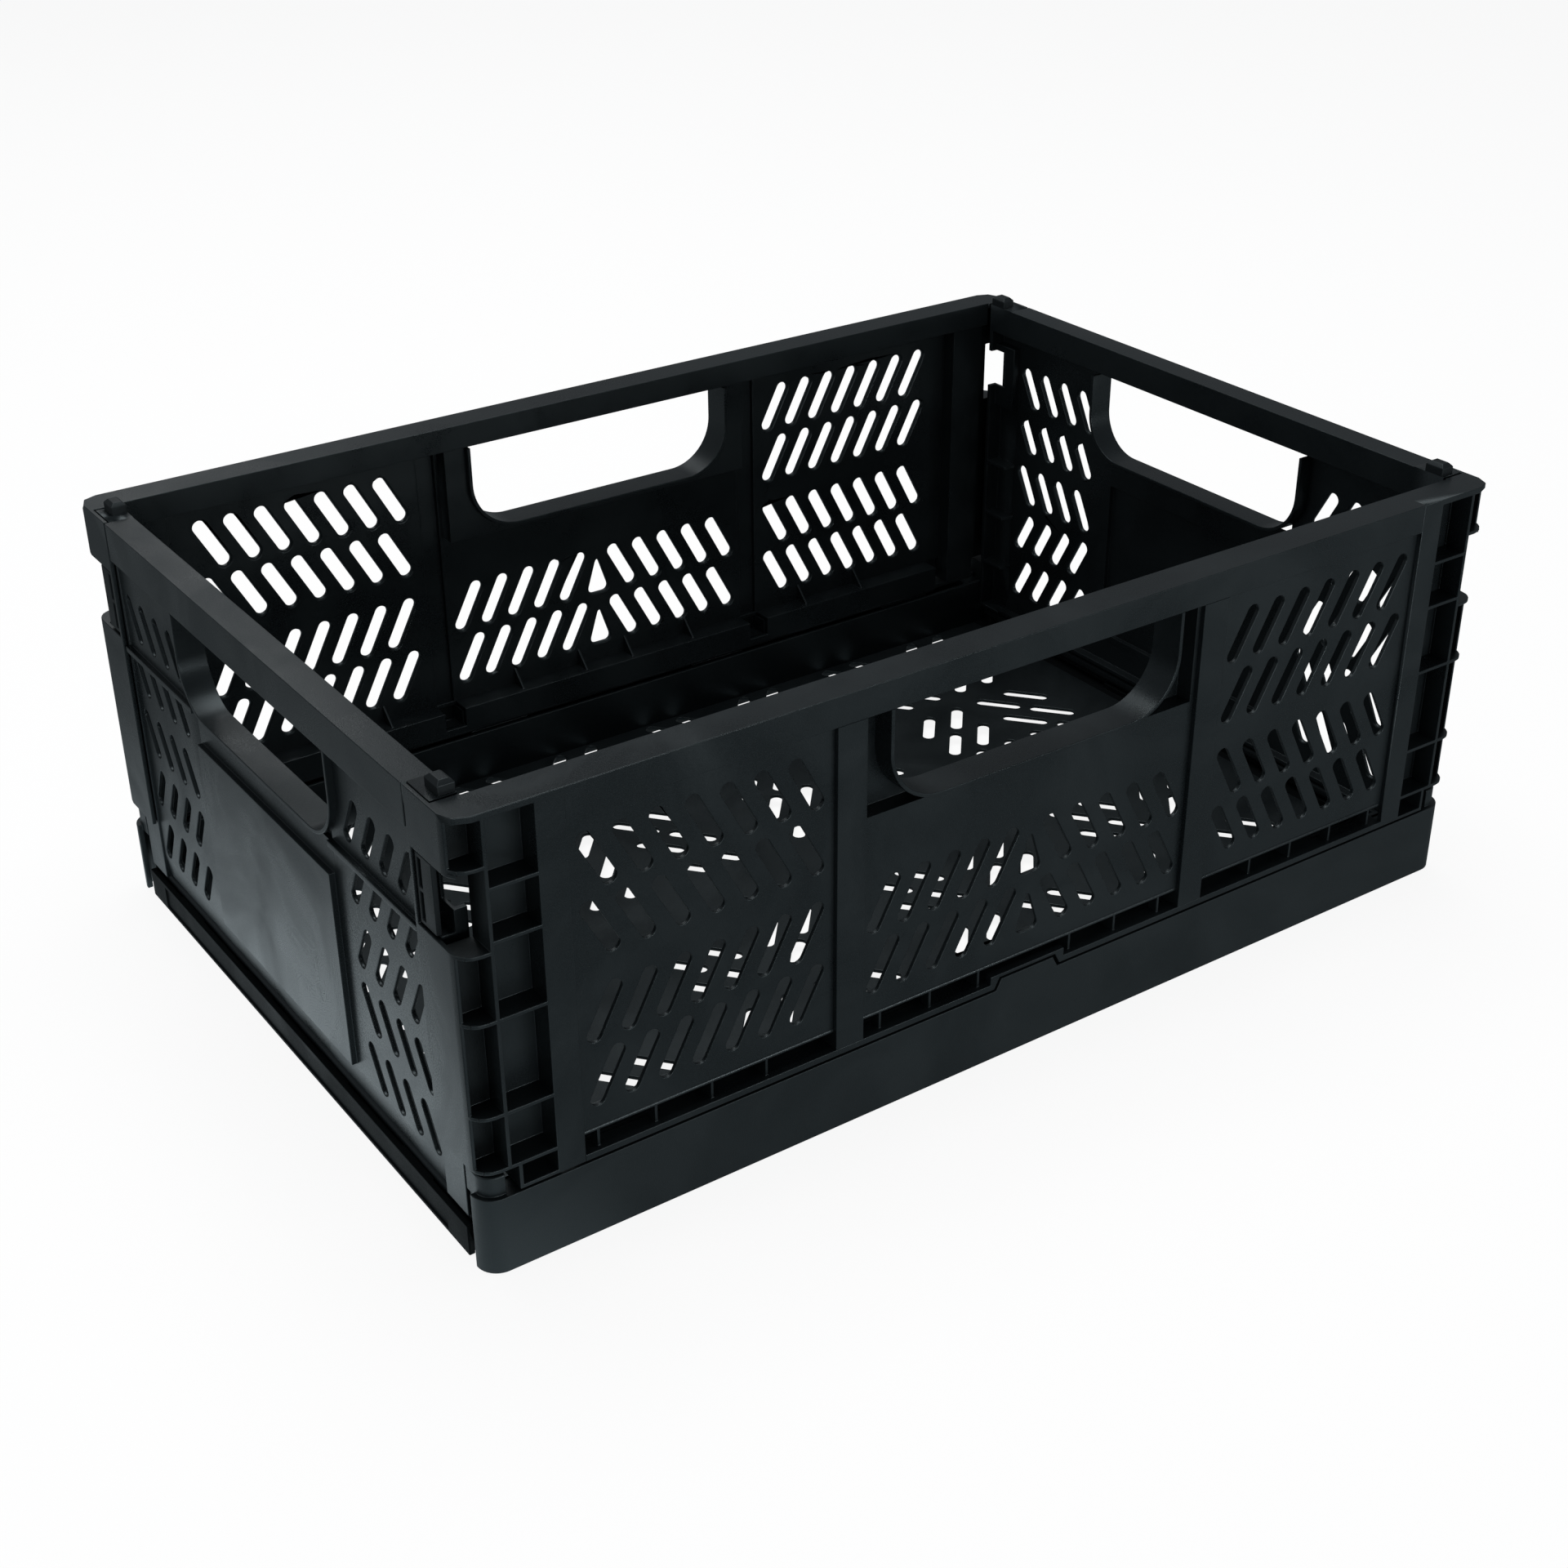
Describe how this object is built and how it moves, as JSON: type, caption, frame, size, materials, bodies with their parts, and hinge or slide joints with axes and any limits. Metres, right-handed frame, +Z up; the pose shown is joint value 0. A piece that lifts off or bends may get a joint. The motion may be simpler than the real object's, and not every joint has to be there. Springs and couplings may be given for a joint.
{
  "type": "collapsible storage crate",
  "caption": "Open-topped folding crate with slotted walls and floor, hinged ends, press latches, a hand opening in each wall and stacking nubs on the rim.",
  "frame": {"origin": "on the ground under the middle of the crate", "axes": "+X along the long walls, +Y from the front wall to the rear wall, +Z up"},
  "size_m": [0.48, 0.325, 0.1868],
  "materials": {
    "wall_shell": "fine-grained matt",
    "base_shell": "fine-grained matt",
    "latch": "fine-grained matt",
    "stacking_nub": "smooth matt"
  },
  "bodies": {
    "base": {"base_floor": "base_shell", "base_kerb_front": "base_shell", "base_kerb_rear": "base_shell", "base_sill_left": "base_shell", "base_sill_right": "base_shell"},
    "front_wall": {"front_rim": "wall_shell", "front_skin_left": "wall_shell", "front_skin_centre": "wall_shell", "front_skin_right": "wall_shell", "front_grip_collar": "wall_shell", "front_pilaster_left": "wall_shell", "front_pilaster_right": "wall_shell", "front_foot": "wall_shell", "front_post_left": "wall_shell", "front_post_right": "wall_shell"},
    "rear_wall": {"rear_rim": "wall_shell", "rear_skin_left": "wall_shell", "rear_skin_centre": "wall_shell", "rear_skin_right": "wall_shell", "rear_grip_collar": "wall_shell", "rear_pilaster_left": "wall_shell", "rear_pilaster_right": "wall_shell", "rear_foot": "wall_shell", "rear_post_left": "wall_shell", "rear_post_right": "wall_shell"},
    "left_end": {"left_rim": "wall_shell", "left_skin_front": "wall_shell", "left_skin_rear": "wall_shell", "left_panel": "wall_shell", "left_grip_collar": "wall_shell", "left_foot": "wall_shell", "left_stile_front": "wall_shell", "left_stile_rear": "wall_shell", "left_nub_front": "stacking_nub", "left_nub_rear": "stacking_nub"},
    "right_end": {"right_rim": "wall_shell", "right_skin_front": "wall_shell", "right_skin_rear": "wall_shell", "right_panel": "wall_shell", "right_grip_collar": "wall_shell", "right_foot": "wall_shell", "right_stile_front": "wall_shell", "right_stile_rear": "wall_shell", "right_nub_front": "stacking_nub", "right_nub_rear": "stacking_nub"},
    "left_latch_front": {"left_latch_front": "latch"},
    "left_latch_rear": {"left_latch_rear": "latch"},
    "right_latch_front": {"right_latch_front": "latch"},
    "right_latch_rear": {"right_latch_rear": "latch"}
  },
  "joints": [
    {"name": "left_end_fold", "type": "hinge", "parent": "base", "child": "left_end", "pos_m": [-0.233, 0, 0.012], "axis": [0, 1, 0], "range_deg": [0, 90]},
    {"name": "right_end_fold", "type": "hinge", "parent": "base", "child": "right_end", "pos_m": [0.233, 0, 0.012], "axis": [0, -1, 0], "range_deg": [0, 90]},
    {"name": "front_wall_lean", "type": "hinge", "parent": "base", "child": "front_wall", "pos_m": [0, -0.1505, 0.033], "axis": [-1, 0, 0], "range_deg": [0, 0.25]},
    {"name": "rear_wall_lean", "type": "hinge", "parent": "base", "child": "rear_wall", "pos_m": [0, 0.1505, 0.033], "axis": [1, 0, 0], "range_deg": [0, 0.25]},
    {"name": "left_latch_front_press", "type": "slide", "parent": "left_end", "child": "left_latch_front", "axis": [1, 0, 0], "range_m": [0, 0.0025], "stiffness_N_per_m": 2000},
    {"name": "left_latch_rear_press", "type": "slide", "parent": "left_end", "child": "left_latch_rear", "axis": [1, 0, 0], "range_m": [0, 0.0025], "stiffness_N_per_m": 2000},
    {"name": "right_latch_front_press", "type": "slide", "parent": "right_end", "child": "right_latch_front", "axis": [-1, 0, 0], "range_m": [0, 0.0025], "stiffness_N_per_m": 2000},
    {"name": "right_latch_rear_press", "type": "slide", "parent": "right_end", "child": "right_latch_rear", "axis": [-1, 0, 0], "range_m": [0, 0.0025], "stiffness_N_per_m": 2000}
  ]
}
